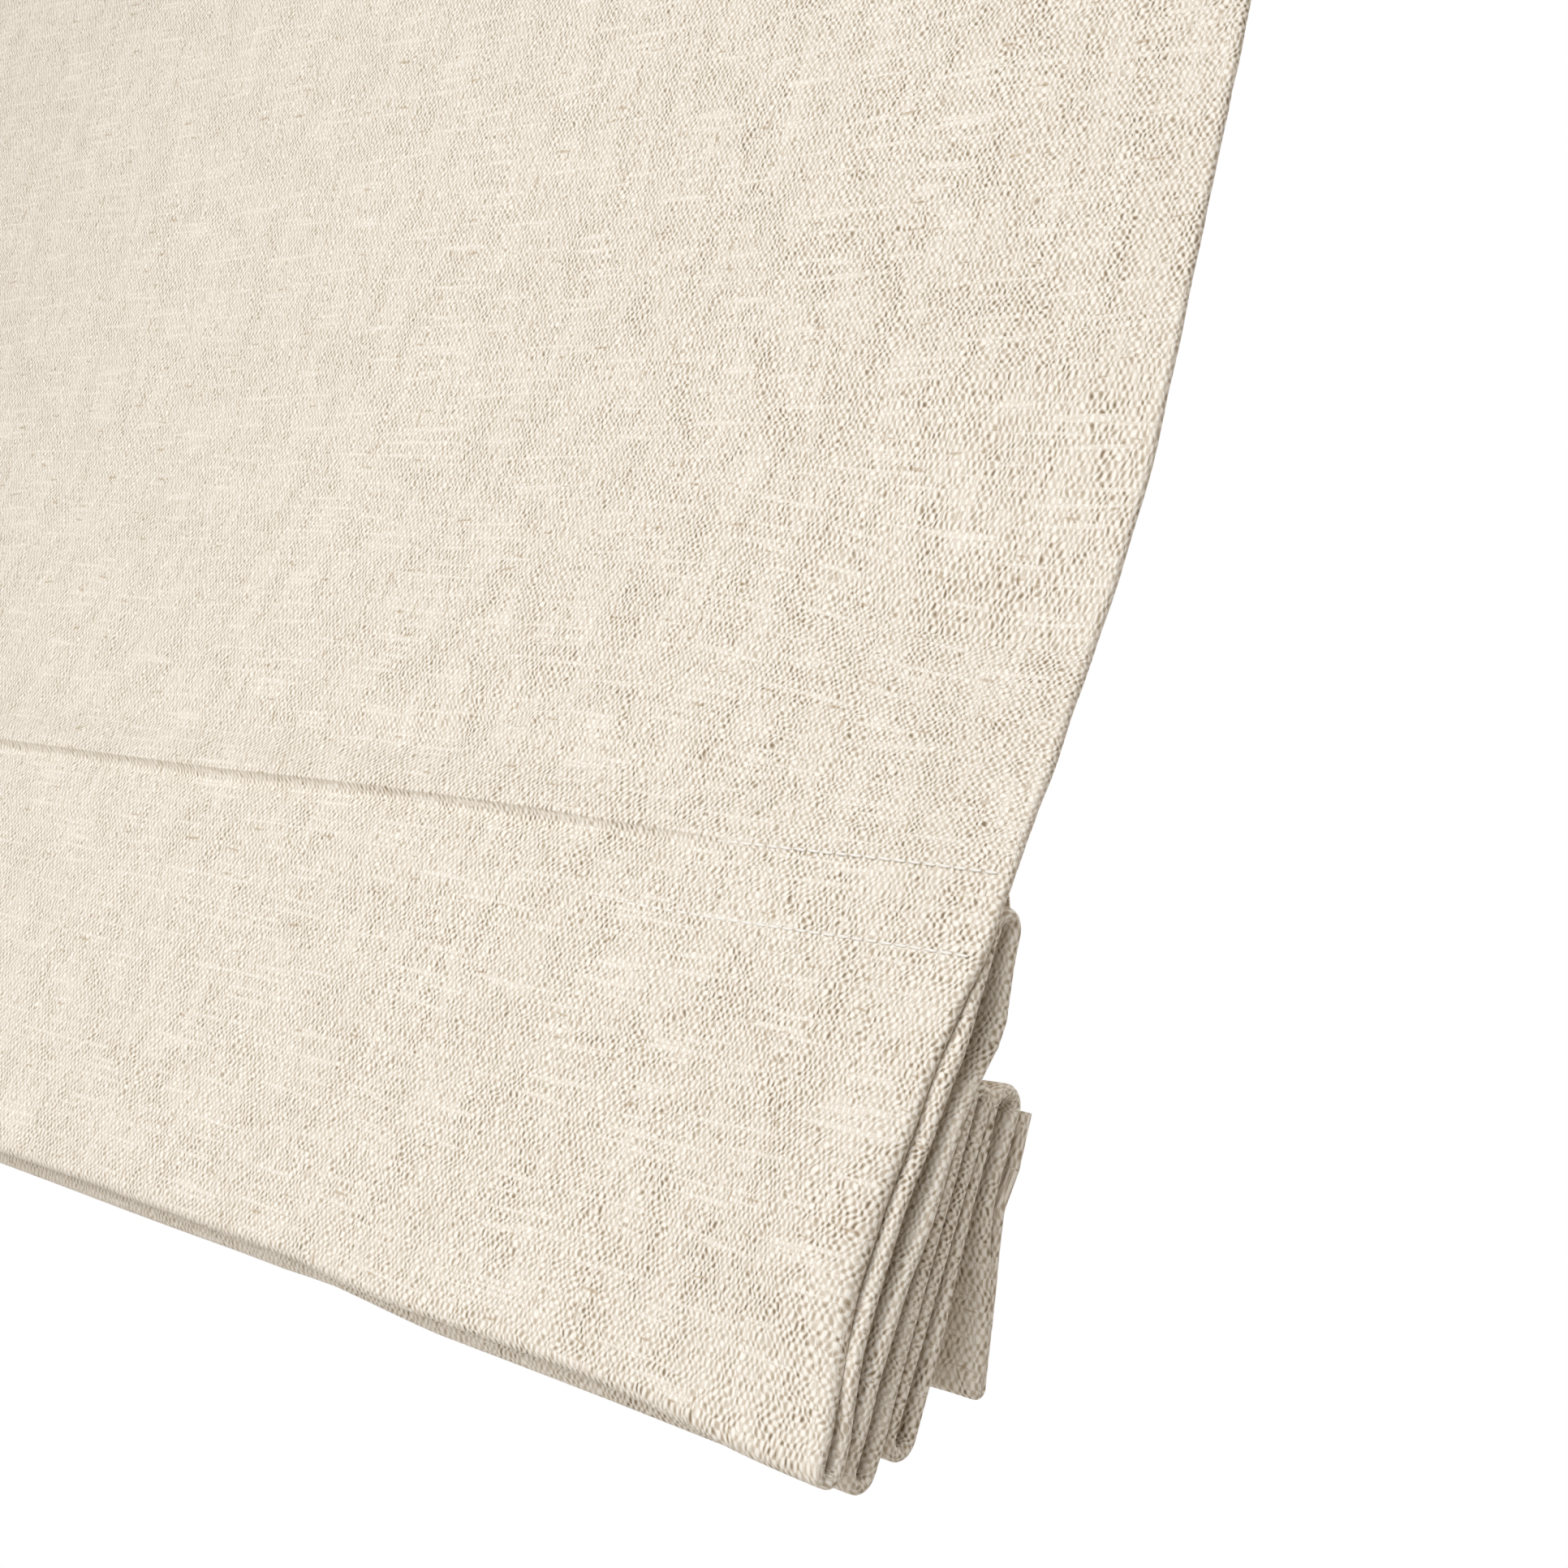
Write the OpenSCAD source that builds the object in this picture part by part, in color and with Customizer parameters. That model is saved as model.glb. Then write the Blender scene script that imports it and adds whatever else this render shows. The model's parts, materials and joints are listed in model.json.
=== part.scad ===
/* [Cloth] */
// Finished width of the cloth
cloth_w = 900; // [600:10:1400]
// Thickness of the linen
cloth_t = 0.8; // [0.6:0.1:1]
// Width of the folded hem down each side
side_hem = 25; // [15:1:40]
// Extra thickness of the side hem
hem_t = 0.7; // [0.4:0.1:0.8]
// Plain cloth between the headrail's underside and the top stitch line
top_panel = 320; // [280:10:500]
// How far the top panel bellies back behind the top stitch line
belly_y = 11; // [5:1:12]
// Height of the belly above the top stitch line
belly_z = 95; // [80:5:120]
// Radius of the belly
belly_r = 250; // [220:10:320]
// How far the cloth at the headrail lies behind the top stitch line
head_set_back = 4; // [2:1:8]

/* [Folds] */
// Height of the front fold, from the top stitch line to its bottom
fold_h = 110; // [95:1:130]
// How far the front fold's bottom stands forward of the top stitch line
front_lean = 10.2; // [6:0.2:14]
// Depth from the bottom of one hanging fold to the next
fan_step = 10; // [9:0.5:13]
// How much lower the second fold hangs than the first
second_drop = 1.2; // [0:0.2:4]
// How much higher the third fold hangs than the first
third_rise = 6; // [2:0.5:12]
// Radius at the bottom of the front fold
bottom_r = 2; // [2:0.1:2.4]
// How much wider the bottom of each fold is than the one in front
bottom_r_step = 1; // [0.5:0.1:1.2]
// Radius of the two tight top folds
crest_r = 1.7; // [1.6:0.1:2.2]
// Radius of the lowest top fold, over which the hem flap hangs
last_crest_r = 5.5; // [5:0.1:7]
// Slack that lets the lowest top fold hang down
last_drop = 6; // [4:0.5:10]
// Room between neighbouring layers
layer_gap = 0.5; // [0.4:0.1:1]
// Height of the hem flap, from the middle of the lowest top fold to its bottom
flap_h = 45; // [40:1:70]
// How far the flap's bottom stands back from the lowest top fold's side
flap_lean = 3; // [1:0.5:6]

/* [Rods and hem bar] */
// Diameter of a rod
rod_d = 3.2; // [2.6:0.1:4]
// Room round a rod in its pocket
rod_play = 0.2; // [0.1:0.05:0.3]
// Height of the flat rod pocket, between its two stitch lines
pocket_h = 15; // [13:0.5:20]
// Thickness of the pocket strips
pocket_t = 0.6; // [0.4:0.1:0.7]
// Room between a pocket strip and the cloth
pocket_gap = 0.15; // [0.1:0.05:0.3]
// How far a pocket strip reaches down each side of a tight top fold
pocket_leg = 5; // [4:0.5:7]
// Room left between a rod's end and the side hem
rod_end_gap = 4; // [1:0.5:10]
// Height of the hem weight bar
bar_h = 22; // [16:1:26]
// Thickness of the hem weight bar
bar_t = 2; // [1.5:0.1:2.4]
// Room on each side of the bar in the hem
bar_play = 0.3; // [0.2:0.05:0.6]
// Height of the stitched strip above the bar
hem_lap = 6; // [4:0.5:9]

/* [Rings and cords] */
// Outer diameter of a ring
ring_d = 15; // [14:0.5:18]
// Diameter of a ring's wire
ring_wire = 2; // [1.6:0.1:2.2]
// Gap between a ring and the pocket that it is sewn to
ring_seat = 0.2; // [0.1:0.05:0.3]
// Diameter of a lift cord
cord_d = 1.2; // [0.8:0.1:1.6]
// Room between a cord and the layers that it passes
cord_gap = 0.4; // [0.3:0.1:0.8]
// Distance of the outer cords from the blind's centre
cord_x = 330; // [200:10:480]
// Turns with which a cord is tied to its lowest ring
knot_turns = 3; // [2:1:4]

/* [Headrail] */
// Length that the cloth overlaps the headrail at each end
rail_inset = 3; // [0:1:10]
// Depth of the headrail, front to back
rail_d = 50; // [50:1:60]
// Height of the headrail
rail_h = 38; // [36:1:46]
// Wall of the headrail
rail_wall = 1.5; // [1.2:0.1:2]
// Radius of the headrail's outer corners
rail_round = 1.5; // [0.5:0.1:2]
// Width of each lip under the headrail
rail_lip = 17; // [15:0.5:20]
// Thickness of an end cap's plate
cap_t = 2.5; // [2:0.5:4]
// Length of an end cap's plug inside the headrail
cap_plug = 14; // [10:1:25]
// Height of the hook tape and loop tape
tape_h = 24; // [16:1:28]
// Thickness of each tape
tape_t = 1.2; // [0.8:0.1:1.6]

/* [Brackets] */
// Width of a bracket
bracket_w = 32; // [24:1:45]
// Thickness of a bracket's sheet
bracket_t = 1.6; // [1.2:0.1:1.8]
// Space for screw heads between the bracket's back and the headrail
screw_room = 4.4; // [3.5:0.1:8]
// Distance of each bracket from the blind's centre
bracket_x = 380; // [230:10:520]
// Diameter of a bracket's screw holes
screw_hole_d = 5; // [4:0.1:6]
// Vertical distance between a bracket's two screw holes
screw_pitch = 20; // [16:1:24]
// How far the bracket's lips reach round the headrail
bracket_lip = 5; // [4:0.5:6]

/* [Spring lift] */
// Radius of a spool's core
spool_r = 8.5; // [7.5:0.1:9]
// Height of a spool's flanges above its core
flange_h = 2.5; // [2:0.1:3]
// Length of a spool between its flanges
spool_len = 26; // [20:1:40]
// Thickness of the flanges on spools and drums
flange_t = 1.5; // [1:0.1:2]
// Radius of the journals that run in the bearings
journal_r = 5; // [4.4:0.1:5.2]
// Running clearance of a journal
run_fit = 0.1; // [0.05:0.01:0.1]
// Size of the hexagonal drive shaft across its flats
shaft_af = 6; // [5:0.1:6.4]
// Turns of cord on each spool
turns = 8; // [4:1:12]
// Thickness of the cradles' and the motor case's walls
cradle_wall = 3; // [2:0.5:4]
// Middle of the spring motor along the headrail
motor_x = 165; // [90:5:240]
// Width of the flat power spring
spring_w = 16; // [10:1:24]
// Radius of the spring drums' cores
drum_r = 5.6; // [5.3:0.1:6]
// Radius of the spring drums' flanges
drum_flange_r = 9; // [8.6:0.1:9.2]
// Thickness of the spring wound on the output drum
output_wound = 1.2; // [0.8:0.1:1.6]
// Thickness of the spring wound on the storage drum
storage_wound = 2.4; // [1.6:0.1:2.6]
// Distance between the two drums' axes
drum_pitch = 19; // [18.8:0.1:20]

/* [Hidden] */
$fn = 64;

// Gap between pieces that sit against each other
seat = 0.1;
// Gap between moving pieces
clear = 0.3;
// Extra length that carries a cut right through
through = 1;
// Largest turn between two facets of a bent sheet, in degrees
bend_step = 15;

cloth_half = cloth_t / 2;
rod_r = rod_d / 2;
pocket_half = pocket_t / 2;

// A bent sheet is a list of bends [y, z, radius], joined by straight runs that touch them.
// A radius above 0 turns left, one below 0 turns right, and 0 is an end.
function heading(a, b) =
    let (step = [b[0] - a[0], b[1] - a[1]])
    atan2(step[1], step[0]) - asin((b[2] - a[2]) / norm(step));
function on_bend(bend, angle, offset) =
    [bend[0] + (bend[2] - offset) * sin(angle), bend[1] - (bend[2] - offset) * cos(angle)];
function bent_line(bends, offset) =
    let (last = len(bends) - 1)
    [for (i = [0 : last])
        let (
            from = heading(bends[max(i - 1, 0)], bends[max(i, 1)]),
            to = heading(bends[min(i, last - 1)], bends[min(i + 1, last)]),
            steps = ceil(abs(to - from) / bend_step))
        for (k = [0 : steps])
            on_bend(bends[i], from + (to - from) * (steps == 0 ? 0 : k / steps), offset)];
function reversed(points) = [for (i = [len(points) - 1 : -1 : 0]) points[i]];
function at_height(upper, lower, z) =
    upper[0] + (lower[0] - upper[0]) * (upper[1] - z) / (upper[1] - lower[1]);

module bent_sheet(bends, face, back) {
    polygon(concat(bent_line(bends, face), reversed(bent_line(bends, back))));
}
module along_x(x0, x1) {
    translate([x0, 0, 0]) rotate([90, 0, 90]) linear_extrude(x1 - x0) children();
}
module round_corners(size, r) {
    translate([r, 0]) square([size[0] - 2 * r, size[1]]);
    translate([0, r]) square([size[0], size[1] - 2 * r]);
    for (x = [r, size[0] - r], y = [r, size[1] - r]) translate([x, y]) circle(r = r);
}
module rod_along_x(x0, x1, r) {
    translate([x0, 0, 0]) rotate([0, 90, 0]) cylinder(h = x1 - x0, r = r);
}

// Headrail, from the wall plane at y = 0 forwards
rail_back = -bracket_t - screw_room;
rail_front = rail_back - rail_d;
rail_top = rail_h / 2;
rail_bottom = -rail_h / 2;
rail_len = cloth_w - 2 * rail_inset;
inner_front = rail_front + rail_wall;
inner_back = rail_back - rail_wall;
lip_top = rail_bottom + rail_wall;

// The stack hangs from the top stitch line, which is its own zero
seam_y = rail_front - 2 * tape_t - cloth_half - head_set_back;
seam_z = rail_bottom - top_panel;
pocket_depth = rod_d + 2 * rod_play + pocket_t;
pocket_r = max(rod_r + rod_play, crest_r + cloth_half + pocket_gap) + pocket_half;
pocket_reach = pocket_r + pocket_half;
rod_above = cloth_half + rod_play + rod_r;
crest_cap = crest_r + rod_above + pocket_reach;
last_cap = last_crest_r + rod_above + pocket_reach;
layer_pitch = cloth_t + 2 * hem_t + layer_gap;
ring_r = (ring_d - ring_wire) / 2;
cord_pitch = cord_d + seat;
knot_half = knot_turns * cord_pitch / 2;
wire_bow = ring_r - sqrt(ring_r * ring_r - knot_half * knot_half);
knot_core_r = ring_wire / 2 + wire_bow + seat;
knot_r = knot_core_r + cord_d;

// Heights of the rings and the top folds, from the top stitch line down
ring_1_z = -1 - ring_wire / 2;
ring_2_z = ring_1_z - ring_wire - layer_gap;
crest_1_z = ring_2_z - ring_wire / 2 - ring_seat - crest_cap;
ring_3_z = crest_1_z - pocket_leg - layer_gap - ring_wire / 2;
crest_2_z = ring_3_z - ring_wire / 2 - ring_seat - crest_cap;
last_crest_z = crest_2_z - pocket_leg - last_drop - last_cap;
ring_4_z = last_crest_z + last_cap + knot_r + seat;

// The folds' bottoms, and the top folds placed so that each clears the layer in front
bottom_z = -fold_h + bottom_r + cloth_half;
bottom_1 = [-front_lean, bottom_z, bottom_r];
bottom_2 = [bottom_1[0] + fan_step, bottom_z - second_drop + bottom_r_step, bottom_r + bottom_r_step];
bottom_3 = [bottom_2[0] + fan_step, bottom_z + third_rise + 2 * bottom_r_step, bottom_r + 2 * bottom_r_step];
crest_1 = [cloth_half + pocket_depth + layer_gap + pocket_reach, crest_1_z, -crest_r];
front_2 = [[crest_1[0] + crest_r, crest_1_z], [bottom_2[0] - bottom_2[2], bottom_2[1]]];
crest_2 = [at_height(front_2[0], front_2[1], crest_2_z) + layer_pitch + crest_r, crest_2_z, -crest_r];
front_3 = [[crest_2[0] + crest_r, crest_2_z], [bottom_3[0] - bottom_3[2], bottom_3[1]]];
last_crest = [at_height(front_3[0], front_3[1], last_crest_z) + layer_pitch + last_crest_r,
    last_crest_z, -last_crest_r];

// Bottom hem: a tight turn round the weight bar, then a lap stitched to the flap
hem_r = (bar_t + 2 * bar_play + cloth_t) / 2;
hem_turn = [last_crest[0] + last_crest_r + flap_lean + hem_r, last_crest_z - flap_h + hem_r, hem_r];
lap_r = 2;
lap_z = hem_turn[1] + bar_h + bar_play;
lap_in = [hem_turn[0] + hem_r - lap_r, lap_z, lap_r];
lap_shift = 2 * hem_r - cloth_t - seat;
lap_out = [lap_in[0] + 2 * lap_r - lap_shift, lap_z + 2 * lap_r, -lap_r];
lap_end = [lap_out[0] - lap_r, lap_out[1] + hem_lap, 0];

seam = [0, 0, 0];
belly = [belly_y - belly_r, belly_z, -belly_r];
head_bend_r = 30;
head_bend = [head_set_back + head_bend_r, top_panel, head_bend_r];
head_end = [head_set_back, top_panel + rail_h, 0];
panel_end = [0, seat, 0];
top_panel_bends = [head_end, head_bend, belly, panel_end];
fold_bends = [seam, bottom_1, crest_1, bottom_2, crest_2, bottom_3, last_crest, hem_turn,
    lap_in, lap_out, lap_end];
front_turn = heading(seam, bottom_1) + 90;
flap_turn = heading(last_crest, hem_turn) + 90;

// Rings and cords
ring_1_y = cloth_half + pocket_depth + ring_seat + ring_d / 2;
cord_y = crest_2[0] + pocket_reach + cord_gap + cord_d / 2;
ring_3_y = at_height(front_2[0], front_2[1], ring_3_z) + cloth_half + ring_seat + ring_d / 2;
knot_y = cord_y + knot_core_r + cord_d / 2;
ring_places = [[ring_1_y, ring_1_z], [cord_y, ring_2_z], [ring_3_y, ring_3_z], [knot_y + ring_r, ring_4_z]];
cord_xs = [-cord_x, 0, cord_x];
rod_ends = cloth_w / 2 - side_hem - rod_end_gap;
rod_in_pocket_1 = [cloth_half + rod_play + rod_r, -pocket_h / 2];
crests = [crest_1, crest_2, last_crest];

// Spring lift, whose shaft lies where its spools let the cords drop straight down
shaft_y = seam_y + cord_y + spool_r + cord_d + clear + cord_d / 2;
shaft_z = 1;
storage_y = shaft_y + drum_pitch;
cord_top = shaft_z;
spool_half = spool_len / 2 + flange_t;
cradle_half = spool_half + clear + cradle_wall;
spool_end = spool_half + clear + cradle_wall + 1;
motor_half = spring_w / 2 + flange_t + 2 * clear + cradle_wall;
drum_end = motor_half + 1;
storage_pin_r = 3;
snap = 0.9;
guide_r = 3.5;
guide_bore_r = cord_d / 2 + cord_gap + clear;
guide_drop = 1.5;
floor_t = 2.5;
saddle_top = shaft_z + journal_r + 2;
motor_top = shaft_z + drum_flange_r + 2 * clear;
cover_t = 1.6;

linen = "#e6dcc8";
shade = "#d8ccb4";
white = "#f2f1ec";
steel = "#b9bcc0";

module headrail() {
    color("#e9e8e4") difference() {
        along_x(-rail_len / 2, rail_len / 2) difference() {
            translate([rail_front, rail_bottom]) round_corners([rail_d, rail_h], rail_round);
            translate([inner_front, lip_top]) square([rail_d - 2 * rail_wall, rail_h - 2 * rail_wall]);
            translate([rail_front + rail_lip, rail_bottom - through])
                square([rail_d - 2 * rail_lip, rail_wall + 2 * through]);
        }
        for (x = cord_xs)
            translate([x, seam_y + cord_y, rail_bottom - through])
                cylinder(h = rail_wall + 2 * through, r = guide_r + seat);
    }
}

module end_cap(side) {
    plate_at = side * rail_len / 2;
    plug_d = rail_d - 2 * rail_wall - 2 * seat;
    plug_h = rail_h - 2 * rail_wall - 2 * seat;
    color(white) union() {
        along_x(min(plate_at, plate_at + side * cap_t), max(plate_at, plate_at + side * cap_t))
            translate([rail_front, rail_bottom]) round_corners([rail_d, rail_h], rail_round);
        along_x(min(plate_at, plate_at - side * cap_plug), max(plate_at, plate_at - side * cap_plug))
            translate([inner_front + seat, lip_top + seat]) difference() {
                square([plug_d, plug_h]);
                translate([cap_t, cap_t]) square([plug_d - 2 * cap_t, plug_h - 2 * cap_t]);
            }
    }
}

module bracket(x) {
    top_z = rail_top + seat;
    under_z = rail_bottom - seat;
    lip_front = rail_front - seat - bracket_t;
    color(steel) difference() {
        along_x(x - bracket_w / 2, x + bracket_w / 2) {
            translate([-bracket_t, under_z - bracket_t])
                square([bracket_t, rail_h + 2 * seat + 2 * bracket_t]);
            translate([lip_front, top_z]) square([-lip_front, bracket_t]);
            translate([lip_front, top_z - bracket_lip]) square([bracket_t, bracket_lip + bracket_t]);
            translate([rail_back - bracket_lip, under_z - bracket_t])
                square([bracket_lip - rail_back, bracket_t]);
        }
        for (z = [-screw_pitch / 2, screw_pitch / 2])
            translate([x, through, z]) rotate([90, 0, 0])
                cylinder(h = bracket_t + 2 * through, d = screw_hole_d);
    }
}

module tape(behind, half) {
    tape_z = rail_bottom + 2;
    color(white) along_x(-half, half)
        translate([behind - tape_t, tape_z]) square([tape_t, tape_h]);
}

// Floor on the headrail's lips, with the tube that guides a cord through the front lip
module carrier_floor(x, half) {
    along_x(x - half, x + half)
        translate([inner_front + seat, lip_top])
            square([rail_d - 2 * rail_wall - 2 * seat, floor_t]);
}

// Wall with open-topped saddles, given as [y, radius]
module saddle_wall(x, saddles, top) {
    along_x(x, x + cradle_wall) difference() {
        translate([inner_front + seat, lip_top])
            square([rail_d - 2 * rail_wall - 2 * seat, top - lip_top]);
        for (saddle = saddles) translate([saddle[0], shaft_z]) {
            circle(r = saddle[1] + run_fit);
            translate([-snap * saddle[1], 0]) square([2 * snap * saddle[1], top]);
        }
    }
}

module cradle(x) {
    color(white) difference() {
        union() {
            carrier_floor(x, cradle_half);
            for (wall_x = [x - cradle_half, x + cradle_half - cradle_wall])
                saddle_wall(wall_x, [[shaft_y, journal_r]], saddle_top);
            translate([x, seam_y + cord_y, rail_bottom - guide_drop])
                cylinder(h = lip_top + floor_t / 2 - rail_bottom + guide_drop, r = guide_r);
        }
        translate([x, seam_y + cord_y, rail_bottom - guide_drop - through])
            cylinder(h = rail_wall + floor_t + guide_drop + 2 * through, r = guide_bore_r);
    }
}

module spool(x) {
    color(white) translate([x, shaft_y, shaft_z]) difference() {
        union() {
            rod_along_x(-spool_half, spool_half, spool_r);
            rod_along_x(-spool_half, -spool_half + flange_t, spool_r + flange_h);
            rod_along_x(spool_half - flange_t, spool_half, spool_r + flange_h);
            rod_along_x(-spool_end, spool_end, journal_r);
        }
        hexagon(spool_end + through, shaft_af + 2 * seat);
    }
}

module hexagon(half, across) {
    translate([-half, 0, 0]) rotate([0, 90, 0]) cylinder(h = 2 * half, r = across / sqrt(3), $fn = 6);
}

// Turns of cord side by side round the x axis
module wound_cord(core_r, count) {
    translate([-count * cord_pitch / 2, 0, 0]) rotate([0, 90, 0]) rotate_extrude() {
        translate([core_r, 0]) square([cord_d / 2, count * cord_pitch]);
        for (i = [0 : count - 1])
            translate([core_r + cord_d / 2, (i + 0.5) * cord_pitch]) circle(d = cord_d);
    }
}

module cord_turns(x) {
    color(white) translate([x, shaft_y, shaft_z]) wound_cord(spool_r + seat / 2, turns);
}

module drive_shaft() {
    color(steel) translate([0, shaft_y, shaft_z]) hexagon(cord_x + cradle_half + 8, shaft_af);
}

module motor_case() {
    color(shade) {
        carrier_floor(motor_x, motor_half);
        for (wall_x = [motor_x - motor_half, motor_x + motor_half - cradle_wall])
            saddle_wall(wall_x, [[shaft_y, journal_r], [storage_y, storage_pin_r]], motor_top);
    }
}

module motor_cover() {
    color(white) union() {
        along_x(motor_x - motor_half, motor_x + motor_half)
            translate([inner_front + seat, motor_top + seat])
                square([rail_d - 2 * rail_wall - 2 * seat, cover_t]);
        along_x(motor_x - motor_half + cradle_wall + seat, motor_x + motor_half - cradle_wall - seat)
            for (y = [inner_front + seat, inner_back - seat - cover_t])
                translate([y, motor_top - cover_t]) square([cover_t, 2 * cover_t]);
    }
}

module drum(y, end_r) {
    half = spring_w / 2 + clear;
    translate([motor_x, y, shaft_z]) {
        rod_along_x(-half - flange_t, half + flange_t, drum_r);
        rod_along_x(-half - flange_t, -half, drum_flange_r);
        rod_along_x(half, half + flange_t, drum_flange_r);
        rod_along_x(-drum_end, drum_end, end_r);
    }
}

module output_drum() {
    color(shade) difference() {
        drum(shaft_y, journal_r);
        translate([motor_x, shaft_y, shaft_z]) hexagon(drum_end + through, shaft_af + 2 * seat);
    }
}

module storage_drum() {
    color(shade) drum(storage_y, storage_pin_r);
}

// Flat spring wound on both drums, crossing over between them
module power_spring() {
    strip_half = 0.2;
    inner_r = drum_r + clear;
    output_coil = [shaft_y, shaft_z, -inner_r - output_wound + strip_half];
    storage_coil = [storage_y, shaft_z, inner_r + storage_wound - strip_half];
    color(steel) along_x(motor_x - spring_w / 2, motor_x + spring_w / 2) {
        translate([shaft_y, shaft_z]) difference() {
            circle(r = inner_r + output_wound);
            circle(r = inner_r);
        }
        translate([storage_y, shaft_z]) difference() {
            circle(r = inner_r + storage_wound);
            circle(r = inner_r);
        }
        bent_sheet([output_coil, storage_coil], -strip_half, strip_half);
    }
}

module lift_cord(x) {
    cord_end = seam_z + ring_4_z + sqrt(knot_r * knot_r - knot_core_r * knot_core_r) + seat;
    color(white) translate([x, seam_y + cord_y, cord_end]) cylinder(h = cord_top - cord_end, d = cord_d);
}

// Cloth in its middle, and thicker where the side hems are folded to the back
module hemmed_cloth(bends) {
    edge = cloth_w / 2;
    color(linen) translate([0, seam_y, seam_z]) union() {
        along_x(-edge + side_hem, edge - side_hem) bent_sheet(bends, -cloth_half, cloth_half);
        along_x(-edge, -edge + side_hem) bent_sheet(bends, -cloth_half, cloth_half + hem_t);
        along_x(edge - side_hem, edge) bent_sheet(bends, -cloth_half, cloth_half + hem_t);
    }
}

module rod(place) {
    color(steel) translate([0, seam_y + place[0], seam_z + place[1]]) rod_along_x(-rod_ends, rod_ends, rod_r);
}

module crest_rod(crest) {
    rod([crest[0], crest[1] - crest[2] + rod_above]);
}

module front_rod() {
    u = rod_in_pocket_1;
    rod([u[0] * cos(front_turn) - u[1] * sin(front_turn), u[0] * sin(front_turn) + u[1] * cos(front_turn)]);
}

// Strip behind the front fold, stitched flat above and below its rod
module front_pocket() {
    strip_y = cloth_half + pocket_gap + pocket_half;
    bends = [[strip_y, 0, 0],
        [rod_in_pocket_1[0], rod_in_pocket_1[1], -rod_r - rod_play - pocket_half],
        [strip_y, -pocket_h, 0]];
    color(shade) translate([0, seam_y, seam_z]) along_x(-rod_ends, rod_ends)
        rotate(front_turn) bent_sheet(bends, -pocket_half, pocket_half);
}

// Strip over a top fold, with its rod lying on the fold
function strip_round(crest) = [crest[0], crest[1], crest[2] - cloth_half - pocket_gap - pocket_half];
function strip_cap(crest) = [crest[0], crest[1] - crest[2] + rod_above, -pocket_r];
function beside(bend, angle, ahead) =
    let (p = on_bend(bend, angle, 0))
    [p[0] + ahead * cos(angle), p[1] + ahead * sin(angle), 0];

module pocket_strip(bends) {
    color(shade) translate([0, seam_y, seam_z]) along_x(-rod_ends, rod_ends)
        bent_sheet(bends, -pocket_half, pocket_half);
}

// Over a tight fold the strip's legs lie along the two layers
module tight_pocket(before, crest, after) {
    around = strip_round(crest);
    pocket_strip([beside(around, heading(before, crest), -pocket_leg), strip_cap(crest),
        around, beside(around, heading(crest, after), pocket_leg)]);
}

module last_pocket() {
    cap = strip_cap(last_crest);
    around = strip_round(last_crest);
    pocket_strip([beside(around, heading(around, cap), 0), cap, beside(around, heading(cap, around), 0)]);
}

module ring(place, x, wire) {
    translate([x, seam_y + place[0], seam_z + place[1]])
        rotate_extrude() translate([ring_r, 0]) circle(d = wire);
}

module rings(row) {
    color(white) for (x = cord_xs) ring(ring_places[row], x, ring_wire);
}

// Cord ends, wound round the wire of the lowest rings
module cord_knots() {
    color(white) for (x = cord_xs)
        translate([x, seam_y + knot_y, seam_z + ring_4_z]) wound_cord(knot_core_r, knot_turns);
}

module hem_bar() {
    color(steel) translate([0, seam_y + hem_turn[0], seam_z + hem_turn[1]]) along_x(-rod_ends, rod_ends)
        rotate(flap_turn) translate([-bar_t / 2, 0]) square([bar_t, bar_h - bar_play]);
}

headrail();
end_cap(-1);  // end_cap_left
end_cap(1);  // end_cap_right
bracket(-bracket_x);  // bracket_left
bracket(bracket_x);  // bracket_right
tape(rail_front, rail_len / 2);  // hook_tape
tape(rail_front - tape_t, cloth_w / 2 - side_hem - seat);  // loop_tape
cradle(cord_xs[0]);  // cradle_left
cradle(cord_xs[1]);  // cradle_middle
cradle(cord_xs[2]);  // cradle_right
motor_case();
motor_cover();
power_spring();
drive_shaft();
spool(cord_xs[0]);  // spool_left
spool(cord_xs[1]);  // spool_middle
spool(cord_xs[2]);  // spool_right
cord_turns(cord_xs[0]);  // cord_turns_left
cord_turns(cord_xs[1]);  // cord_turns_middle
cord_turns(cord_xs[2]);  // cord_turns_right
output_drum();
storage_drum();
lift_cord(cord_xs[0]);  // lift_cord_left
lift_cord(cord_xs[1]);  // lift_cord_middle
lift_cord(cord_xs[2]);  // lift_cord_right
hemmed_cloth(top_panel_bends);  // cloth_top_panel
hemmed_cloth(fold_bends);  // cloth_folds
front_rod();  // rod_1
crest_rod(crest_1);  // rod_2
crest_rod(crest_2);  // rod_3
crest_rod(last_crest);  // rod_4
front_pocket();  // rod_pocket_1
tight_pocket(bottom_1, crest_1, bottom_2);  // rod_pocket_2
tight_pocket(bottom_2, crest_2, bottom_3);  // rod_pocket_3
last_pocket();  // rod_pocket_4
rings(0);  // rings_1
rings(1);  // rings_2
rings(2);  // rings_3
rings(3);  // rings_4
cord_knots();
hem_bar();
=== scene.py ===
import json
import math
import bpy
import bmesh
from mathutils import Matrix, Vector, noise


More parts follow.
